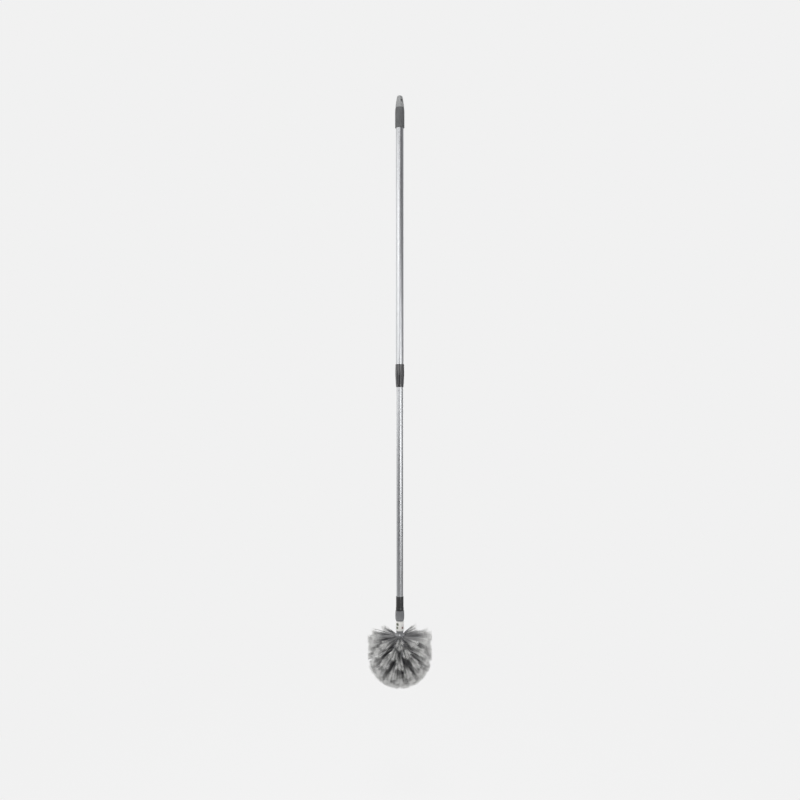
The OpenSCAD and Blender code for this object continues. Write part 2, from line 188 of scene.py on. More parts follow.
# %% Background, which camera rays see as a plain pale grey
world = bpy.data.worlds.new("studio")
world.use_nodes = True
bpy.context.scene.world = world
tree = world.node_tree
tree.nodes.clear()
direction = add_node(tree, "ShaderNodeTexCoord").outputs["Generated"]
room = add_node(tree, "ShaderNodeMix", {
    MIX_FACTOR: darkness(tree, direction), MIX_A: PALE, MIX_B: ROOM_DARK,
}, data_type="RGBA")
seen = add_node(tree, "ShaderNodeLightPath").outputs["Is Camera Ray"]
backdrop = add_node(tree, "ShaderNodeMix", {
    MIX_FACTOR: seen, MIX_A: room.outputs[MIX_RESULT], MIX_B: PALE,
}, data_type="RGBA")
light = add_node(tree, "ShaderNodeBackground", {"Color": backdrop.outputs[MIX_RESULT]})
add_node(tree, "ShaderNodeOutputWorld", {"Surface": light.outputs[0]})
print("world:", world.name)

# %% Floor, below the hanging brush
FLOOR_DROP = 0.42
FLOOR_RADIUS = 9.0
FLOOR_SIDES = 96
floor_z = object_low - FLOOR_DROP

bpy.ops.object.select_all(action="DESELECT")
bpy.ops.mesh.primitive_circle_add(
    vertices=FLOOR_SIDES, radius=FLOOR_RADIUS, fill_type="NGON", location=(0, 0, floor_z)
)
floor = bpy.context.object
floor.name = "floor"
print("floor at", round(floor_z, 3), "m")

# %% The floor's tone: pale round the brush, and the room's own further out
SWEEP_RADIUS = 1.4
STUDIO_RADIUS = 2.4

painted_floor, tree = new_tree("painted floor")
place = add_node(tree, "ShaderNodeTexCoord").outputs["Object"]
distance = add_node(tree, "ShaderNodeVectorMath", {0: place}, operation="LENGTH").outputs["Value"]
off_sweep = add_node(tree, "ShaderNodeMapRange", {
    "Value": distance, "From Min": SWEEP_RADIUS, "From Max": STUDIO_RADIUS,
}, interpolation_type="SMOOTHSTEP")
from_middle = add_node(tree, "ShaderNodeVectorMath", {
    0: place, 1: (0, 0, floor_z - object_mid),
}, operation="ADD")
toward = add_node(tree, "ShaderNodeVectorMath", {0: from_middle.outputs[0]}, operation="NORMALIZE")
dark_share = add_node(tree, "ShaderNodeMath", {
    0: off_sweep.outputs[0], 1: darkness(tree, toward.outputs[0]),
}, operation="MULTIPLY")
tone = add_node(tree, "ShaderNodeMix", {
    MIX_FACTOR: dark_share.outputs[0], MIX_A: PALE, MIX_B: ROOM_DARK,
}, data_type="RGBA").outputs[MIX_RESULT]
print("the floor is pale within", SWEEP_RADIUS, "m of its middle")

# %% The floor's paint, which reflections see as plain light and the camera sees with a shadow
SHADOW_RADIUS = 1.6
SHADOW_SHARE = 0.12

rays = add_node(tree, "ShaderNodeLightPath").outputs
shadow = add_node(tree, "ShaderNodeMapRange", {
    "Value": distance, "From Min": 0.0, "From Max": SHADOW_RADIUS,
    "To Min": SHADOW_SHARE, "To Max": 0.0,
})
lit_share = add_node(tree, "ShaderNodeMath", {0: 1.0, 1: shadow.outputs[0]}, operation="SUBTRACT")
plain_share = add_node(tree, "ShaderNodeMath", {
    0: lit_share.outputs[0], 1: rays["Is Camera Ray"],
}, operation="MULTIPLY")
mirrored = add_node(tree, "ShaderNodeMath", {
    0: rays["Is Glossy Ray"], 1: rays["Is Transmission Ray"],
}, operation="MAXIMUM")
painted = add_node(tree, "ShaderNodeBsdfDiffuse", {"Color": tone})
plain = add_node(tree, "ShaderNodeEmission", {"Color": PALE})
toned = add_node(tree, "ShaderNodeEmission", {"Color": tone})
direct = add_node(tree, "ShaderNodeMixShader", {
    0: plain_share.outputs[0], 1: painted.outputs[0], 2: plain.outputs[0],
})
both = add_node(tree, "ShaderNodeMixShader", {
    0: mirrored.outputs[0], 1: direct.outputs[0], 2: toned.outputs[0],
})
# From below the floor is clear, so that the underside of the head can be looked at
underside = add_node(tree, "ShaderNodeNewGeometry").outputs["Backfacing"]
clear = add_node(tree, "ShaderNodeBsdfTransparent")
one_sided = add_node(tree, "ShaderNodeMixShader", {
    0: underside, 1: both.outputs[0], 2: clear.outputs[0],
})
add_node(tree, "ShaderNodeOutputMaterial", {"Surface": one_sided.outputs[0]})
floor.data.materials.append(painted_floor)
print("floor finish:", painted_floor.name)

# %% [markdown]
# ## The lamps
# All lamps are large and soft. Of the five in front, the tall one on the left and the one
# beside the camera make the two bright streaks on the tubes, two fill the sides, and one
# above lights the shoulders of the fittings. Two more stand behind, for the back views.


# %% Lamps, placed by their angle to the right of the camera and their height, in metres
def soft_lamp(name, angle, distance, height, width, tall, watts):
    lamp = bpy.data.objects.new(name, bpy.data.lights.new(name, "AREA"))
    lamp.data.shape = "RECTANGLE"
    lamp.data.size = width
    lamp.data.size_y = tall
    lamp.data.energy = watts
    turn = math.radians(angle)
    spot = (to_camera * math.cos(turn) + to_right * math.sin(turn)) * distance
    lamp.location = spot + Vector((0, 0, height))
    aim = Vector((0, 0, object_mid)) - lamp.location
    lamp.rotation_euler = aim.to_track_quat("-Z", "Y").to_euler()
    lamp.visible_camera = False
    bpy.context.scene.collection.objects.link(lamp)


soft_lamp("tall_left_lamp", angle=-30, distance=2.6, height=-0.1, width=1.8, tall=1.5, watts=18)
soft_lamp("left_side_lamp", angle=-76, distance=2.4, height=-0.2, width=1.6, tall=1.8, watts=11)
soft_lamp("camera_side_lamp", angle=24, distance=3.0, height=-0.95, width=1.4, tall=1.5, watts=20)
soft_lamp("low_right_lamp", angle=62, distance=2.4, height=-1.0, width=1.2, tall=1.4, watts=7)
soft_lamp("top_lamp", angle=-5, distance=2.3, height=1.9, width=1.3, tall=1.3, watts=36)
soft_lamp("back_right_lamp", angle=168, distance=2.6, height=-0.4, width=0.9, tall=1.6, watts=10)
soft_lamp("back_left_lamp", angle=-158, distance=2.6, height=-0.4, width=0.6, tall=1.6, watts=4)
bpy.context.scene.view_settings.view_transform = "Standard"

# %% [markdown]
# ## Moulded plastics
# Most of the pole's fittings are injection moulded. One flat colour with one gloss would look
# like a toy, because polypropylene, nylon and acetal all show the same marks: a fine grain
# from the mould, a cloudy flow of the pigment, and handling smears that turn the gloss dull
# in patches. One function builds that, and each plastic below sets its own colours and sizes.
# The grain is drawn coarser than the real one, which would be too fine to show.

# %% The marks that every moulded plastic shares
FLOW_MM = 14
FLOW_STRETCH = 0.35
FLOW_CONTRAST = (0.35, 0.65)
SMEAR_MM = 9
SMEAR_CONTRAST = (0.4, 0.7)
GRAIN_STRENGTH = 0.3
PLASTIC_IOR = 1.49
PLAIN_SPECULAR = 0.5


def moulded(
    name, base, flow, roughness, dull, grain_mm, grain_depth_mm,
    ior=PLASTIC_IOR, specular=PLAIN_SPECULAR,
):
    material, tree = new_tree(name)
    place = add_node(tree, "ShaderNodeTexCoord").outputs["Object"]
    # Pigment flows along the pole while the mould fills, so the clouds are long along Z
    stretched = add_node(tree, "ShaderNodeMapping", {"Vector": place, "Scale": (1, 1, FLOW_STRETCH)})
    clouds = add_node(tree, "ShaderNodeTexNoise", {
        "Vector": stretched.outputs[0], "Scale": per_metre(FLOW_MM), "Detail": 4.0, "Roughness": 0.6,
    })
    cloud = add_node(tree, "ShaderNodeMapRange", {
        "Value": clouds.outputs[0], "From Min": FLOW_CONTRAST[0], "From Max": FLOW_CONTRAST[1],
    })
    tint = add_node(tree, "ShaderNodeMix", {
        MIX_FACTOR: cloud.outputs[0], MIX_A: colour(base), MIX_B: colour(flow),
    }, data_type="RGBA")
    # Handling dulls the gloss in smears of a centimetre or so
    smears = add_node(tree, "ShaderNodeTexNoise", {
        "Vector": place, "Scale": per_metre(SMEAR_MM), "Detail": 6.0, "Roughness": 0.7,
    })
    gloss = add_node(tree, "ShaderNodeMapRange", {
        "Value": smears.outputs[0], "From Min": SMEAR_CONTRAST[0], "From Max": SMEAR_CONTRAST[1],
        "To Min": roughness, "To Max": dull,
    })
    grain = add_node(tree, "ShaderNodeTexNoise", {
        "Vector": place, "Scale": per_metre(grain_mm), "Detail": 2.0,
    })
    bump = add_node(tree, "ShaderNodeBump", {
        "Height": grain.outputs[0], "Distance": grain_depth_mm * MM, "Strength": GRAIN_STRENGTH,
    })
    shader = add_node(tree, "ShaderNodeBsdfPrincipled", {
        "Base Color": tint.outputs[MIX_RESULT], "Roughness": gloss.outputs[0],
        "Normal": bump.outputs[0], "IOR": ior, "Specular IOR Level": specular,
    })
    add_node(tree, "ShaderNodeOutputMaterial", {"Surface": shader.outputs[0]})
    return material


# %% The polypropylenes and the rubber
POLISHED_SPECULAR = 0.9
# Polypropylene from a grained mould has a waxy half gloss: the end cap and the tip
cap_plastic = moulded(
    "light grey polypropylene", base="#939494", flow="#898a8a", roughness=0.42, dull=0.54,
    grain_mm=0.7, grain_depth_mm=0.02,
)
tip_plastic = moulded(
    "black polypropylene", base="#2c2c2e", flow="#252526", roughness=0.3, dull=0.45,
    grain_mm=0.8, grain_depth_mm=0.015,
)
# From a polished mould it is shiny, and mirrors the lamps in streaks: the collar and the core
collar_plastic = moulded(
    "charcoal polypropylene", base="#29292c", flow="#242427", roughness=0.1, dull=0.16,
    grain_mm=0.9, grain_depth_mm=0.006, specular=POLISHED_SPECULAR,
)
core_plastic = moulded(
    "mid grey polypropylene", base="#77787a", flow="#6d6e70", roughness=0.12, dull=0.2,
    grain_mm=0.8, grain_depth_mm=0.008, specular=POLISHED_SPECULAR,
)
# Thermoplastic rubber: no gloss at all, and a coarse grain that a wet hand can hold
grip_rubber = moulded(
    "dark grey thermoplastic rubber", base="#5f6061", flow="#565758", roughness=0.62, dull=0.8,
    grain_mm=1.1, grain_depth_mm=0.15,
)
print("outside:", [m.name for m in (cap_plastic, tip_plastic, collar_plastic, core_plastic, grip_rubber)])

# %% The plastics inside the pole
NYLON_IOR = 1.53
# Acetal: chalky and slippery, self coloured, used where pieces slide
bush_plastic = moulded(
    "natural acetal", base="#e6e3da", flow="#dcd9cf", roughness=0.35, dull=0.45,
    grain_mm=0.8, grain_depth_mm=0.01,
)
nut_plastic = moulded(
    "mid grey acetal", base="#4d4d52", flow="#454549", roughness=0.34, dull=0.45,
    grain_mm=0.8, grain_depth_mm=0.01,
)
# Nylon: slightly yellow where it is natural, and tougher than it is shiny
sleeve_plastic = moulded(
    "natural nylon", base="#dcd3bb", flow="#d0c6ac", roughness=0.4, dull=0.5,
    grain_mm=0.8, grain_depth_mm=0.012, ior=NYLON_IOR,
)
spindle_plastic = moulded(
    "black nylon", base="#232324", flow="#1d1d1e", roughness=0.4, dull=0.5,
    grain_mm=0.8, grain_depth_mm=0.012, ior=NYLON_IOR,
)
print("inside:", [m.name for m in (bush_plastic, nut_plastic, sleeve_plastic, spindle_plastic)])

# %% [markdown]
# ## Steel
# The tubes are rolled from zinc-plated strip, welded along one line and drawn through a die.
# The die leaves hair lines along the tube, the weld a narrow dull line at the back, and the
# zinc a cloudy change of gloss. Lines and clouds are one noise each, the first stretched so
# far along Z that it becomes lines. Steel wire has the same finish, finer.

# %% Drawn steel, with its lines along Z
LINE_STRETCH = 0.004
LINE_DEPTH_MM = 0.004
LINE_STRENGTH = 0.3
LINE_DULLS = 0.12
ZINC_MM = 22
ZINC_CONTRAST = (0.35, 0.7)
WELD_ANGLE = math.radians(110)
WELD_HALF_WIDTH = math.radians(3.5)
WELD_DULLS = 0.18


def weld_seam(tree, place):
    """1 along the weld, 0 beside it."""
    xyz = add_node(tree, "ShaderNodeSeparateXYZ", {0: place})
    angle = add_node(tree, "ShaderNodeMath", {
        0: xyz.outputs[1], 1: xyz.outputs[0],
    }, operation="ARCTAN2")
    off = add_node(tree, "ShaderNodeMath", {
        0: angle.outputs[0], 1: WELD_ANGLE,
    }, operation="SUBTRACT")
    away = add_node(tree, "ShaderNodeMath", {0: off.outputs[0]}, operation="ABSOLUTE")
    return add_node(tree, "ShaderNodeMapRange", {
        "Value": away.outputs[0], "From Min": WELD_HALF_WIDTH / 2, "From Max": WELD_HALF_WIDTH,
        "To Min": 1.0, "To Max": 0.0,
    }).outputs[0]


def drawn_steel(name, base, cloudy, roughness, dull, line_mm, weld):
    material, tree = new_tree(name)
    place = add_node(tree, "ShaderNodeTexCoord").outputs["Object"]
    drawn = add_node(tree, "ShaderNodeMapping", {"Vector": place, "Scale": (1, 1, LINE_STRETCH)})
    lines = add_node(tree, "ShaderNodeTexNoise", {
        "Vector": drawn.outputs[0], "Scale": per_metre(line_mm), "Detail": 3.0,
    })
    clouds = add_node(tree, "ShaderNodeTexNoise", {
        "Vector": place, "Scale": per_metre(ZINC_MM), "Detail": 5.0, "Roughness": 0.65,
    })
    tint = add_node(tree, "ShaderNodeMix", {
        MIX_FACTOR: clouds.outputs[0], MIX_A: colour(base), MIX_B: colour(cloudy),
    }, data_type="RGBA")
    gloss = add_node(tree, "ShaderNodeMapRange", {
        "Value": clouds.outputs[0], "From Min": ZINC_CONTRAST[0], "From Max": ZINC_CONTRAST[1],
        "To Min": roughness, "To Max": dull,
    })
    height = lines.outputs[0]
    rough = add_node(tree, "ShaderNodeMath", {
        0: lines.outputs[0], 1: LINE_DULLS, 2: gloss.outputs[0],
    }, operation="MULTIPLY_ADD").outputs[0]
    if weld:
        seam = weld_seam(tree, place)
        height = add_node(tree, "ShaderNodeMath", {0: height, 1: seam}, operation="ADD").outputs[0]
        rough = add_node(tree, "ShaderNodeMath", {
            0: seam, 1: WELD_DULLS, 2: rough,
        }, operation="MULTIPLY_ADD").outputs[0]
    bump = add_node(tree, "ShaderNodeBump", {
        "Height": height, "Distance": LINE_DEPTH_MM * MM, "Strength": LINE_STRENGTH,
    })
    shader = add_node(tree, "ShaderNodeBsdfPrincipled", {
        "Base Color": tint.outputs[MIX_RESULT], "Metallic": 1.0, "Roughness": rough,
        "Normal": bump.outputs[0],
    })
    add_node(tree, "ShaderNodeOutputMaterial", {"Surface": shader.outputs[0]})
    return material


# %% The steels of the pole
# Zinc plate is bright and slightly blue, and dulls in clouds where it is handled
tube_steel = drawn_steel(
    "zinc-plated drawn steel", base="#c6c7c9", cloudy="#babcbe", roughness=0.23, dull=0.28,
    line_mm=0.5, weld=True,
)
# Blued spring steel is darker, and its heat treatment leaves it a little blue
spring_steel = drawn_steel(
    "blued spring steel", base="#9a9ca2", cloudy="#84878e", roughness=0.25, dull=0.35,
    line_mm=0.3, weld=False,
)
# Galvanised wire has a thick, satin coat of zinc
anchor_steel = drawn_steel(
    "galvanised wire", base="#b9bbbe", cloudy="#a7aaae", roughness=0.32, dull=0.45,
    line_mm=0.2, weld=False,
)
print("steels:", tube_steel.name, spring_steel.name, anchor_steel.name)

# %% [markdown]
# ## The label
# A strip of white polyester film is wrapped round the neck. Its print is only blocks of
# colour and two rules. They could be an image, but worked out from the angle round the neck
# and the height they stay sharp at any size. Angles start from the side that faces the
# camera. The smooth film gives a soft shine, and faint ripples where it doesn't lie flat.

# %% The print, as blocks of ink
label_mid = (top_z("neck_label") + low_z("neck_label")) / 2
front_angle = math.atan2(to_camera.y, to_camera.x)
FILM_WHITE = colour("#dedcd8")
INK_OLIVE = colour("#5c6254")
INK_BROWN = colour("#7b6660")
INK_GREY = colour("#c9cac8")
ALL_ROUND = 181
# Each block: angle in degrees to the right of the front, height above the middle in mm,
# half its width in degrees, half its height in mm, and its ink
BLOCKS = [
    (-38, 5.0, 20, 3.4, INK_OLIVE),
    (-42, -4.8, 17, 3.0, INK_OLIVE),
    (45, -4.8, 16, 3.0, INK_BROWN),
    (134, 5.0, 20, 3.4, INK_OLIVE),
    (150, -4.8, 12, 3.0, INK_BROWN),
    (0, 11.4, ALL_ROUND, 0.5, INK_GREY),
    (0, -11.4, ALL_ROUND, 0.5, INK_GREY),
]
print("blocks on the label:", len(BLOCKS))

# %% Printed film
RIPPLE_MM = 5
RIPPLE_DEPTH_MM = 0.12
RIPPLE_STRENGTH = 0.4
POLYESTER_IOR = 1.57


def printed_film():
    material, tree = new_tree("printed polyester film")
    place = add_node(tree, "ShaderNodeTexCoord").outputs["Object"]
    turned = add_node(tree, "ShaderNodeMapping", {
        "Vector": place, "Location": (0, 0, -label_mid), "Rotation": (0, 0, -front_angle),
    })
    xyz = add_node(tree, "ShaderNodeSeparateXYZ", {0: turned.outputs[0]})
    angle = add_node(tree, "ShaderNodeMath", {
        0: xyz.outputs[1], 1: xyz.outputs[0],
    }, operation="ARCTAN2")
    ink = FILM_WHITE
    for right, up, half_turn, half_height, block_ink in BLOCKS:
        across = add_node(tree, "ShaderNodeMath", {
            0: angle.outputs[0], 1: math.radians(right), 2: math.radians(half_turn),
        }, operation="COMPARE")
        along = add_node(tree, "ShaderNodeMath", {
            0: xyz.outputs[2], 1: up * MM, 2: half_height * MM,
        }, operation="COMPARE")
        inside = add_node(tree, "ShaderNodeMath", {
            0: across.outputs[0], 1: along.outputs[0],
        }, operation="MULTIPLY")
        ink = add_node(tree, "ShaderNodeMix", {
            MIX_FACTOR: inside.outputs[0], MIX_A: ink, MIX_B: block_ink,
        }, data_type="RGBA").outputs[MIX_RESULT]
    ripples = add_node(tree, "ShaderNodeTexNoise", {
        "Vector": place, "Scale": per_metre(RIPPLE_MM), "Detail": 1.0,
    })
    bump = add_node(tree, "ShaderNodeBump", {
        "Height": ripples.outputs[0], "Distance": RIPPLE_DEPTH_MM * MM, "Strength": RIPPLE_STRENGTH,
    })
    shader = add_node(tree, "ShaderNodeBsdfPrincipled", {
        "Base Color": ink, "Roughness": 0.32, "Normal": bump.outputs[0], "IOR": POLYESTER_IOR,
    })
    add_node(tree, "ShaderNodeOutputMaterial", {"Surface": shader.outputs[0]})
    return material


label_film = printed_film()
print("label:", label_film.name)

# %% [markdown]
# ## Dress the CAD nodes
# A CAD node keeps its shape and only changes its material. Its triangles are loose, so the
# smooth shading that came with it is left alone.

# %% Give each carried-over node its finish
finishes = {
    "hang_cap": cap_plastic, "top_grip": grip_rubber, "outer_tube": tube_steel,
    "joint_collar": collar_plastic, "guide_bush": bush_plastic,
    "expander_sleeve": sleeve_plastic, "cone_nut": nut_plastic, "lock_spindle": spindle_plastic,
    "stop_clip": spring_steel, "inner_tube": tube_steel, "brush_core": core_plastic,
    "neck_label": label_film, "tuft_anchors": anchor_steel,
}
for node, finish in finishes.items():
    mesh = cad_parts[node].data
    mesh.materials.clear()
    mesh.materials.append(finish)
print("dressed", len(finishes), "CAD nodes")

# %% [markdown]
# ## Turning a piece on the lathe of edit mode
# A turned plastic piece is a closed outline swept round the pole. By hand it is a circle that
# is extruded and scaled, ring by ring, until the last ring meets the first. That keeps clean
# rings of quads, which is why it is used here instead of a boolean.

# %% Helpers that select and finish
MERGE_DISTANCE = 0.001 * MM
SMOOTH_ANGLE = math.radians(32)


def only(piece):
    bpy.ops.object.select_all(action="DESELECT")
    piece.select_set(True)
    bpy.context.view_layer.objects.active = piece


def settle(piece):
    """Puts the object's origin at the frame's, with its place in its mesh."""
    only(piece)
    bpy.ops.object.transform_apply(location=True, rotation=True, scale=True)


# %% The lathe
TURN_SIDES = 72


def turn_outline(name, outline):
    """Extrudes a circle through an outline of (radius, height) in metres, and closes it."""
    bpy.ops.object.select_all(action="DESELECT")
    radius, height = outline[0]
    bpy.ops.mesh.primitive_circle_add(vertices=TURN_SIDES, radius=radius, location=(0, 0, height))
    piece = bpy.context.object
    piece.name = piece.data.name = name
    settle(piece)
    bpy.ops.object.mode_set(mode="EDIT")
    bpy.ops.mesh.select_all(action="SELECT")
    for next_radius, next_height in outline[1:] + outline[:1]:
        bpy.ops.mesh.extrude_region_move(
            TRANSFORM_OT_translate={"value": (0, 0, next_height - height)}
        )
        scale = next_radius / radius
        bpy.ops.transform.resize(value=(scale, scale, 1), center_override=(0, 0, 0))
        radius, height = next_radius, next_height
    bpy.ops.mesh.select_all(action="SELECT")
    bpy.ops.mesh.remove_doubles(threshold=MERGE_DISTANCE)
    bpy.ops.mesh.normals_make_consistent(inside=False)
    bpy.ops.object.mode_set(mode="OBJECT")
    bpy.ops.object.shade_smooth_by_angle(angle=SMOOTH_ANGLE)
    return piece


# %% [markdown]
# ## A thread as a swept ridge
# A coarse plastic thread is a ridge with sloping sides. Its section is a small plane whose
# outer edge is narrowed, and the Screw modifier sweeps it up the helix. The ends are filled,
# so that the ridge is a closed solid that sits a little inside the wall that carries it.

# %% Sweep a ridge
STEPS_PER_TURN = 40


def thread_ridge(name, foot_r, crest_r, foot_width, crest_width, pitch, low, turns):
    """A helical ridge from foot_r to crest_r, which may point inwards. Sizes in metres."""
    bpy.ops.object.select_all(action="DESELECT")
    depth = crest_r - foot_r
    bpy.ops.mesh.primitive_plane_add(
        size=1, location=(foot_r + depth / 2, 0, low), rotation=(math.pi / 2, 0, 0)
    )
    ridge = bpy.context.object
    ridge.name = ridge.data.name = name
    ridge.scale = (abs(depth), foot_width, 1)
    settle(ridge)
    # The corners nearer to the crest are narrowed
    for vertex in ridge.data.vertices:
        vertex.select = abs(vertex.co.x - crest_r) < abs(depth) / 2
    for edge in ridge.data.edges:
        edge.select = all(ridge.data.vertices[v].select for v in edge.vertices)
    for face in ridge.data.polygons:
        face.select = False
    bpy.ops.object.mode_set(mode="EDIT")
    bpy.ops.transform.resize(value=(1, 1, crest_width / foot_width), center_override=(0, 0, low))
    bpy.ops.mesh.select_all(action="SELECT")
    bpy.ops.mesh.delete(type="ONLY_FACE")
    bpy.ops.object.mode_set(mode="OBJECT")
    screw = ridge.modifiers.new("helix", "SCREW")
    screw.axis = "Z"
    screw.angle = math.tau * turns
    screw.screw_offset = pitch * turns
    screw.steps = screw.render_steps = int(STEPS_PER_TURN * turns)
    screw.use_merge_vertices = False
    bpy.ops.object.modifier_apply(modifier=screw.name)
    bpy.ops.object.mode_set(mode="EDIT")
    bpy.ops.mesh.select_all(action="DESELECT")
    bpy.ops.mesh.select_non_manifold()
    bpy.ops.mesh.edge_face_add()
    bpy.ops.mesh.select_all(action="SELECT")
    bpy.ops.mesh.normals_make_consistent(inside=False)
    bpy.ops.object.mode_set(mode="OBJECT")
    bpy.ops.object.shade_smooth_by_angle(angle=SMOOTH_ANGLE)
    return ridge


# %% [markdown]
# ## The screw tip
# The black tip is pushed over the lower tube, and the brush screws on to its hollow stub. On a
# broom handle the thread is coarse, about 5 mm a turn, and its crest is worn round. The CAD
# stub is as wide as the crests, so the stub is turned down here to the thread's root.

# %% Measures of the tip
PITCH = 5 * MM
THREAD_ROOT = 9.2 * MM
STUB_R = 10 * MM
STUB_BORE_R = 5.95 * MM
SLEEVE_R = 10.6 * MM
TUBE_WALL = 0.5 * MM
TUBE_GAP = 0.05 * MM
FACE_DROP = 5 * MM
FLANGE_HEIGHT = 8.5 * MM
PLUG_DROP = 4 * MM
tip_low, tip_top = low_z("thread_tip"), top_z("thread_tip")
flange_r = radius_of("thread_tip")
tube_low = low_z("inner_tube")
over_tube_r = radius_of("inner_tube") + TUBE_GAP
in_tube_r = radius_of("inner_tube") - TUBE_WALL
face_z = tube_low - FACE_DROP
flange_z = face_z + FLANGE_HEIGHT
plug_top = tip_top - PLUG_DROP
print("flange", round(2 * flange_r / MM, 1), "mm wide")
print("stub", round((face_z - tip_low) / MM, 1), "mm long")


# %% Its outline, from the sleeve's inside over the flange and the stub to the plug
def ring_at(radius, height, out_mm=0, up_mm=0):
    return radius + out_mm * MM, height + up_mm * MM


tip_outline = [
    ring_at(over_tube_r, tube_low),
    ring_at(over_tube_r, tip_top),
    ring_at(SLEEVE_R, tip_top, out_mm=-0.5),
    ring_at(SLEEVE_R, tip_top, out_mm=-0.15, up_mm=-0.15),
    ring_at(SLEEVE_R, tip_top, up_mm=-0.5),
    ring_at(SLEEVE_R, flange_z, up_mm=0.5),
    ring_at(flange_r, flange_z, out_mm=-0.15, up_mm=0.1),
    ring_at(flange_r, flange_z, up_mm=-0.2),
    ring_at(flange_r, face_z, up_mm=0.3),
    ring_at(flange_r, face_z, out_mm=-0.3),
    ring_at(THREAD_ROOT, face_z, out_mm=0.4),
    ring_at(THREAD_ROOT, face_z, up_mm=-0.6),
    ring_at(THREAD_ROOT, tip_low, up_mm=2),
    ring_at(THREAD_ROOT, tip_low, out_mm=-1.2),
    ring_at(STUB_BORE_R, tip_low, out_mm=0.3),
    ring_at(STUB_BORE_R, tip_low, up_mm=0.3),
    ring_at(STUB_BORE_R, plug_top),
    ring_at(in_tube_r, plug_top, out_mm=-1),
    ring_at(in_tube_r - TUBE_GAP, plug_top, up_mm=-1),
    ring_at(in_tube_r - TUBE_GAP, tube_low),
]
screw_tip = turn_outline("screw_tip", tip_outline)
print("turned through", len(tip_outline), "rings")

# %% Add the thread to the tip
THREAD_SINK = 0.1 * MM
THREAD_START = 3 * MM

stub_thread = thread_ridge(
    "stub_thread", foot_r=THREAD_ROOT - THREAD_SINK, crest_r=STUB_R,
    foot_width=2.6 * MM, crest_width=1.1 * MM, pitch=PITCH,
    low=tip_low + THREAD_START, turns=4.8,
)
only(screw_tip)
stub_thread.select_set(True)
bpy.ops.object.join()
screw_tip.data.materials.append(tip_plastic)
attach(screw_tip, "inner_pole")
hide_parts("thread_tip")
print("screw tip:", len(screw_tip.data.polygons), "faces")

# %% The matching thread inside the socket, half a pitch away
SOCKET_BORE = 10.05 * MM
SOCKET_CREST = 9.35 * MM

socket_thread = thread_ridge(
    "socket_thread", foot_r=SOCKET_BORE + THREAD_SINK, crest_r=SOCKET_CREST,
    foot_width=2.2 * MM, crest_width=0.9 * MM, pitch=PITCH,
    low=tip_low + THREAD_START + PITCH / 2, turns=4.6,
)
socket_thread.data.materials.append(core_plastic)
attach(socket_thread, "brush_head")
print("socket thread:", len(socket_thread.data.polygons), "faces")

# %% [markdown]
# ## Bristle
# The filaments are grey polyester, about 0.3 mm thick, cut and then flagged: a comb splits
# the last 15 mm or so of each into finer hairs, which catch the cobwebs. Polyester is a
# little glossy and lets some light in, and the hairs scatter it, so the tips are paler than
# the roots. The colour also holds painted shade: it darkens towards the roots, deep in the
# tufts. Blender's own hair could grow them, but hair isn't a mesh, and every piece of the
# finished brush is one. The UV map gives the colour: a filament stands in the column of its
# tone, and the map's height runs from its root to its tip.

# %% Flagged filaments
BRISTLE_MAP = "OFBake"
SHADES = 24
DARKEST = colour("#48484c")
PALEST = colour("#b8b8b8")
FRAYED = colour("#f2f2f0")
# The tips are mixed toward FRAYED, paler than the roots: partly the scatter of the split hairs, partly
# painted shade, darker towards the roots deep in the tufts
FRAY_AND_ROOT_SHADE_FROM = 0.45
FRAY_AND_ROOT_SHADE_FULL = 0.97
FRAY_AND_ROOT_SHADE_SHARE = 0.85


def flagged_bristle():
    material, tree = new_tree("flagged polyester bristle")
    strand = add_node(tree, "ShaderNodeUVMap", uv_map=BRISTLE_MAP)
    xy = add_node(tree, "ShaderNodeSeparateXYZ", {0: strand.outputs[0]})
    shade = add_node(tree, "ShaderNodeMix", {
        MIX_FACTOR: xy.outputs[0], MIX_A: DARKEST, MIX_B: PALEST,
    }, data_type="RGBA")
    # Painted shade in part: the colour pales from root to tip, so it is darker where the roots stand deep
    # in the tufts
    fray_and_root_shade = add_node(tree, "ShaderNodeMapRange", {
        "Value": xy.outputs[1], "From Min": FRAY_AND_ROOT_SHADE_FROM, "From Max": FRAY_AND_ROOT_SHADE_FULL,
        "To Min": 0.0, "To Max": FRAY_AND_ROOT_SHADE_SHARE,
    }, interpolation_type="SMOOTHSTEP")
    tint = add_node(tree, "ShaderNodeMix", {
        MIX_FACTOR: fray_and_root_shade.outputs[0], MIX_A: shade.outputs[MIX_RESULT], MIX_B: FRAYED,
    }, data_type="RGBA")
    shader = add_node(tree, "ShaderNodeBsdfPrincipled", {
        "Base Color": tint.outputs[MIX_RESULT], "Roughness": 0.42, "IOR": POLYESTER_IOR,
    })
    add_node(tree, "ShaderNodeOutputMaterial", {"Surface": shader.outputs[0]})
    return material


bristle = flagged_bristle()
print("bristle:", bristle.name, "in", SHADES, "shades")

# %% [markdown]
# ## One strand, modelled once
# A strand starts as a three-sided cylinder, cut across at even heights so that it can curve,
# with its end narrowed. Smooth shading makes three sides look round at this size. There are
# two: the stem from the hole to where it is split, and the finer hair of the flag.


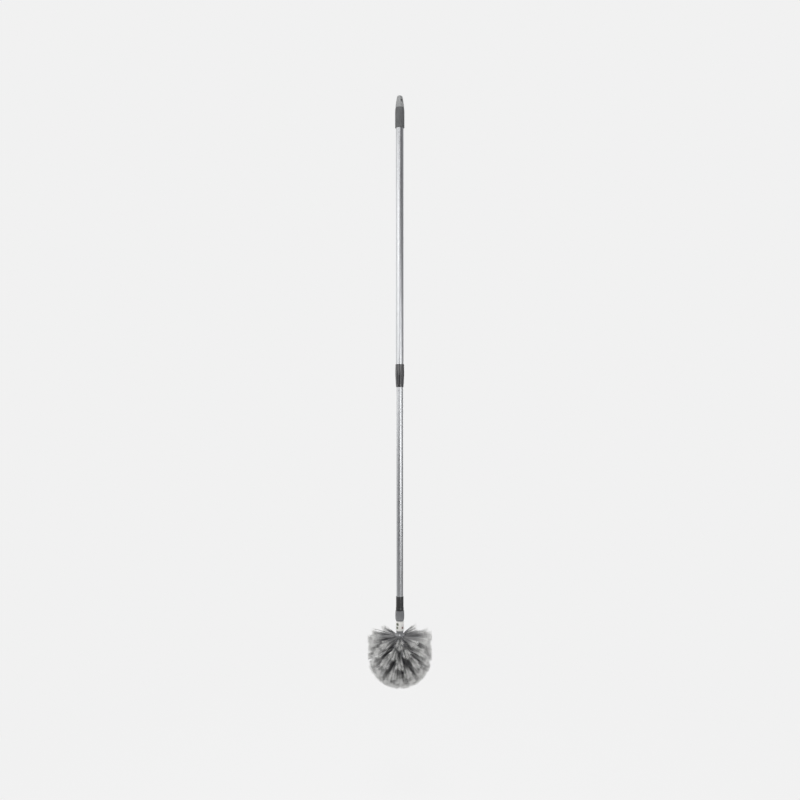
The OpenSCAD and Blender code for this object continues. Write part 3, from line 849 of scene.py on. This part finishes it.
# %% Model a strand of unit radius and unit length
def model_strand(name, bends, tip_share):
    bpy.ops.object.select_all(action="DESELECT")
    bpy.ops.mesh.primitive_cylinder_add(
        vertices=3, radius=1, depth=1, end_fill_type="NGON", location=(0, 0, 0.5)
    )
    strand = bpy.context.object
    strand.name = strand.data.name = name
    settle(strand)
    bpy.ops.object.mode_set(mode="EDIT")
    for bend in range(1, bends):
        bpy.ops.mesh.select_all(action="SELECT")
        bpy.ops.mesh.bisect(plane_co=(0, 0, bend / bends), plane_no=(0, 0, 1))
    bpy.ops.mesh.select_all(action="DESELECT")
    bpy.ops.object.mode_set(mode="OBJECT")
    # The last ring is all that stands in the upper half of the last bend
    for vertex in strand.data.vertices:
        vertex.select = vertex.co.z > 1 - 0.5 / bends
    bpy.ops.object.mode_set(mode="EDIT")
    bpy.ops.transform.resize(value=(tip_share, tip_share, 1), center_override=(0, 0, 1))
    bpy.ops.object.mode_set(mode="OBJECT")
    return strand


stem_model = model_strand("stem", bends=6, tip_share=0.8)
hair_model = model_strand("hair", bends=3, tip_share=0.4)
print("stem faces:", len(stem_model.data.polygons), "hair faces:", len(hair_model.data.polygons))


# %% Read the model strands as plain arrays
def strand_arrays(model):
    corners = np.array([v.co for v in model.data.vertices], float)
    faces = [list(p.vertices) for p in model.data.polygons]
    return corners, faces


stem_corners, stem_faces = strand_arrays(stem_model)
hair_corners, hair_faces = strand_arrays(hair_model)
for model in (stem_model, hair_model):
    bpy.data.objects.remove(model)
print("stem corners:", len(stem_corners), "hair corners:", len(hair_corners))

# %% [markdown]
# ## Where each tuft stands
# Every CAD tuft is a turned solid, so the long axis of its corners is the axis of its hole. A
# copy of each row is merged and separated, and each loose part gives the root, the direction
# and the length of one tuft.


# %% Read the tufts of a row from the frame
def tufts_of(node):
    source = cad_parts[node]
    bpy.ops.object.select_all(action="DESELECT")
    copy = source.copy()
    copy.data = source.data.copy()
    copy.parent = None
    bpy.context.scene.collection.objects.link(copy)
    only(copy)
    bpy.ops.object.mode_set(mode="EDIT")
    bpy.ops.mesh.select_all(action="SELECT")
    bpy.ops.mesh.remove_doubles(threshold=MERGE_DISTANCE)
    bpy.ops.mesh.separate(type="LOOSE")
    bpy.ops.object.mode_set(mode="OBJECT")
    tufts = []
    for part in list(bpy.context.selected_objects):
        corners = np.array([v.co for v in part.data.vertices], float)
        middle = corners.mean(0)
        axis = np.linalg.svd(corners - middle, full_matrices=False)[2][0]
        # A tuft points away from the pole's axis, and the end tuft points down
        outward = np.dot(axis, middle - np.array([0, 0, middle[2]]))
        if outward < 0 or (node == "end_tuft" and axis[2] > 0):
            axis = -axis
        along = (corners - middle) @ axis
        root = middle + axis * along.min()
        tufts.append((root, axis, float(along.max() - along.min())))
        bpy.data.objects.remove(part)
    return sorted(tufts, key=lambda tuft: math.atan2(tuft[0][1], tuft[0][0]))


rows = [f"tuft_row_{i}" for i in range(1, 8)] + ["end_tuft"]
row_tufts = {row: tufts_of(row) for row in rows}
print("tufts in each row:", [len(t) for t in row_tufts.values()])

# %% [markdown]
# ## Growing the tufts
# Eleven thousand filaments are too many to place with operators, so each row repeats the two
# modelled strands with array arithmetic. The filaments of a tuft cling together in a few
# locks, as handled bristle does, and each lock leans its own way and has its own shade. A
# filament leaves its hole straight, fans out, bends a little under its own weight and is
# trimmed where it meets the outline of the head, and three hairs carry on from where it is
# split. All the randomness is seeded by the row.

# %% Sizes of a tuft
# Filaments in a tuft, locks that they cling to, and hairs that each is split into
FILAMENTS = 145
LOCKS = 7
FLAGS = 3
# Radii of a stem, a hair, the root and the tip of a tuft, and the tip of a lock. The hairs
# are thicker than real ones, which would be too fine to show.
STEM_R = 0.17 * MM
HAIR_R = 0.1 * MM
ROOT_R = 1.75 * MM
TIP_R = 13.5 * MM
LOCK_R = 3.2 * MM
# How much locks draw in to the tuft's axis, and how far a tuft leans and a lock strays
GATHER = 0.4
TUFT_LEAN = 1.9 * MM
LOCK_STRAY = 1.2 * MM
# How straight the locks fan out from the hole: below 1 they bow outwards
LOCK_BOW = (0.85, 1.1)
BOW_STRAY = 0.05
# The share of a filament's shade that its tuft sets, and how far it strays by itself
TUFT_SHADE = 0.45
SHADE_STRAY = 0.13
# The straight part in the hole, the sag at the tip, and a slight wave and its turn in radians
HOLE_DEPTH = 5.0 * MM
SAG = 3.5 * MM
WAVE = 0.5 * MM
WAVE_TURN = 5
print("a tuft fans out from", 2 * ROOT_R / MM, "to", 2 * TIP_R / MM, "mm")

# %% The outline to which the head is trimmed: a round side and half an ellipse under it
TRIM_R = 92.5 * MM
END_HEIGHT = 85 * MM
side_low = object_low + END_HEIGHT


def outline_share(points):
    """1 on the trimmed outline, less inside it."""
    out = np.hypot(points[..., 0], points[..., 1]) / TRIM_R
    down = np.minimum(points[..., 2] - side_low, 0) / END_HEIGHT
    return np.hypot(out, down)


def side_vectors(axis):
    up = np.array([0, 0, 1.0]) if abs(axis[2]) < 0.9 else np.array([1.0, 0, 0])
    side = np.cross(up, axis)
    side /= np.linalg.norm(side)
    return side, np.cross(axis, side)


def spiral(count):
    """Points spread evenly over a disc of radius 1, as the seeds of a sunflower are."""
    turn = np.arange(count) * math.pi * (3 - math.sqrt(5))
    out = np.sqrt((np.arange(count) + 0.5) / count)
    return out[:, None] * np.stack([np.cos(turn), np.sin(turn)], 1)


# %% Plan a tuft: the start, tip, bow, wave and shade of each filament
def plan_tuft(random):
    start = spiral(FILAMENTS)
    lock_middle = spiral(LOCKS)
    lock = np.argmin(np.linalg.norm(start[:, None] - lock_middle[None], axis=2), axis=1)
    lean = np.clip(random.normal(0, TUFT_LEAN, 2), -2 * TUFT_LEAN, 2 * TUFT_LEAN)
    gathered = np.linalg.norm(lock_middle, axis=1)[:, None] ** GATHER
    lock_tip = lean + lock_middle * gathered * TIP_R + random.normal(0, LOCK_STRAY, (LOCKS, 2))
    tip = lock_tip[lock] + random.normal(0, LOCK_R / 2, (FILAMENTS, 2))
    tip += (start - lock_middle[lock]) * LOCK_R
    wave_turn = random.uniform(0, math.tau, FILAMENTS)
    wave_size = random.normal(0, WAVE, FILAMENTS)
    bow = random.uniform(*LOCK_BOW, LOCKS)[lock] + random.uniform(-BOW_STRAY, BOW_STRAY, FILAMENTS)
    tuft_shade = random.uniform(0, 1)
    lock_shade = random.uniform(0, 1, LOCKS)[lock]
    stray = random.normal(0, SHADE_STRAY, FILAMENTS)
    share = TUFT_SHADE * tuft_shade + (1 - TUFT_SHADE) * lock_shade + stray
    shade = np.clip(share * SHADES, 0, SHADES - 1).astype(int)
    return start * ROOT_R, tip, bow, wave_turn, wave_size, shade


# %% The path of each filament, and where the outline cuts it
PATH_END = 1.5
TRIM_FROM = 0.5
TRIM_TO = 1.4
TRIM_HALVINGS = 14


def filament_paths(root, axis, length, plan):
    """A function from runs, an array of filaments by distances from the root, to points."""
    start, tip, bow, wave_turn, wave_size, _ = plan
    side, over = side_vectors(axis)
    level = math.hypot(axis[0], axis[1])
    wave_way = np.stack([np.cos(wave_turn), np.sin(wave_turn)], 1)

    def place_at(run):
        free = np.clip((run - HOLE_DEPTH) / (length - HOLE_DEPTH), 0, PATH_END)
        fan = free ** bow[:, None]
        flat = start[:, None] + (tip - start)[:, None] * fan[..., None]
        wave = wave_size[:, None] * np.sin(free * WAVE_TURN + wave_turn[:, None]) * free
        flat = flat + wave[..., None] * wave_way[:, None]
        points = root + run[..., None] * axis + flat[..., :1] * side + flat[..., 1:] * over
        points[..., 2] -= SAG * level * free ** 2
        return points

    return place_at


def trimmed_runs(place_at, length):
    """How far each filament runs before it meets the outline, found by halving."""
    inside, outside = np.full(FILAMENTS, length * TRIM_FROM), np.full(FILAMENTS, length * TRIM_TO)
    for _ in range(TRIM_HALVINGS):
        middle = (inside + outside) / 2
        is_in = outline_share(place_at(middle[:, None])[:, 0]) < 1
        inside, outside = np.where(is_in, middle, inside), np.where(is_in, outside, middle)
    return inside


# %% Bend copies of a model strand along many paths
def sweep(corners, faces, paths, thickness, across, up):
    """paths(t) gives the middle of each strand at shares t of its length."""
    middles = paths(corners[:, 2])
    ring = corners[:, 0, None] * across + corners[:, 1, None] * up
    points = middles + thickness * ring[None]
    count, size = points.shape[:2]
    all_faces = [
        [corner + strand * size for corner in face] for strand in range(count) for face in faces
    ]
    return points.reshape(-1, 3), all_faces


# %% The hairs of a flag, grown one for each filament at a time
FLAG_LENGTH = 16 * MM
FLAG_SHARES = (0.7, 1.15)
FLAG_SPREAD = 2.8 * MM
SPREAD_STRAY = FLAG_SPREAD / 3
HAIR_SHARES = (0.92, 1.0)
HAIR_TURN = 1.5
HAIR_BOW = 1.4
PULL_BACK = 1.2


def flag_hairs(flag, split, heading, room, side, over, random):
    """Hairs from where the stems are split, drawn back where they would pass the outline."""
    reach = room * random.uniform(*HAIR_SHARES, FILAMENTS)
    lean_turn = math.tau * flag / FLAGS + random.uniform(0, HAIR_TURN, FILAMENTS)
    lean_size = np.abs(random.normal(FLAG_SPREAD, SPREAD_STRAY, FILAMENTS))[:, None]
    lean_way = lean_size * (np.cos(lean_turn)[:, None] * side + np.sin(lean_turn)[:, None] * over)
    past = outline_share(split + heading * reach[:, None] + lean_way) - 1
    reach -= np.maximum(past, 0) * TRIM_R * PULL_BACK

    def hair_path(t):
        forward = heading[:, None] * (t[None] * reach[:, None])[..., None]
        return split[:, None] + forward + lean_way[:, None] * (t ** HAIR_BOW)[None, :, None]

    return sweep(hair_corners, hair_faces, hair_path, HAIR_R, side, over)


# %% One tuft, as corners, faces, heights on the bristle's map and shades
TRIM_RAGGED = 0.008
HEADING_STEP = 2 * MM


def tuft_mesh(root, axis, length, random):
    plan = plan_tuft(random)
    shade = plan[-1]
    side, over = side_vectors(axis)
    place_at = filament_paths(root, axis, length, plan)
    full = trimmed_runs(place_at, length) * (1 - np.abs(random.normal(0, TRIM_RAGGED, FILAMENTS)))
    stem_end = full - FLAG_LENGTH * random.uniform(*FLAG_SHARES, FILAMENTS)

    def stem_path(t):
        return place_at(t[None] * stem_end[:, None])

    corners, faces = sweep(stem_corners, stem_faces, stem_path, STEM_R, side, over)
    along = np.tile(stem_corners[:, 2], FILAMENTS) * np.repeat(stem_end / full, len(stem_corners))
    parts = [(corners, faces, along, np.repeat(shade, len(stem_corners)))]

    split = place_at(stem_end[:, None])[:, 0]
    before = place_at(stem_end[:, None] - HEADING_STEP)[:, 0]
    heading = (split - before) / np.linalg.norm(split - before, axis=1)[:, None]
    for flag in range(FLAGS):
        corners, faces = flag_hairs(flag, split, heading, full - stem_end, side, over, random)
        share = np.repeat(stem_end / full, len(hair_corners))
        along = share + np.tile(hair_corners[:, 2], FILAMENTS) * (1 - share)
        parts.append((corners, faces, along, np.repeat(shade, len(hair_corners))))
    return parts


# %% One piece for each row
# Inside its column of the map a face is half as wide as the column, so that a bake finds it
COLUMN_MARGIN = 0.25


def bristle_row(node, seed):
    random = np.random.default_rng(seed)
    corners, faces, along, columns = [], [], [], []
    offset = 0
    for root, axis, length in row_tufts[node]:
        for part_corners, part_faces, part_along, part_columns in tuft_mesh(root, axis, length, random):
            corners.append(part_corners)
            faces += [[c + offset for c in face] for face in part_faces]
            along.append(part_along)
            columns.append(part_columns)
            offset += len(part_corners)
    mesh = bpy.data.meshes.new("bristles_" + node)
    mesh.from_pydata(np.concatenate(corners).tolist(), [], faces)
    mesh.polygons.foreach_set("use_smooth", [True] * len(faces))
    corner_of = np.zeros(len(mesh.loops), np.int32)
    mesh.loops.foreach_get("vertex_index", corner_of)
    along = np.clip(np.concatenate(along), 0, 1)[corner_of]
    columns = np.concatenate(columns)[corner_of]
    inside = np.arange(len(corner_of)) % 2 * (1 - 2 * COLUMN_MARGIN) + COLUMN_MARGIN
    places = np.stack([(columns + inside) / SHADES, along], 1).astype(np.float32)
    mesh.uv_layers.new(name=BRISTLE_MAP).data.foreach_set("uv", places.ravel())
    mesh.materials.append(bristle)
    piece = bpy.data.objects.new("bristles_" + node, mesh)
    bpy.context.scene.collection.objects.link(piece)
    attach(piece, "brush_head")
    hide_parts(node)
    return piece


# %% Grow the rows
ROW_SEED = 51

for number, node in enumerate(rows):
    piece = bristle_row(node, ROW_SEED + number)
    triangles = sum(len(p.vertices) - 2 for p in piece.data.polygons)
    print(piece.name, triangles, "triangles")
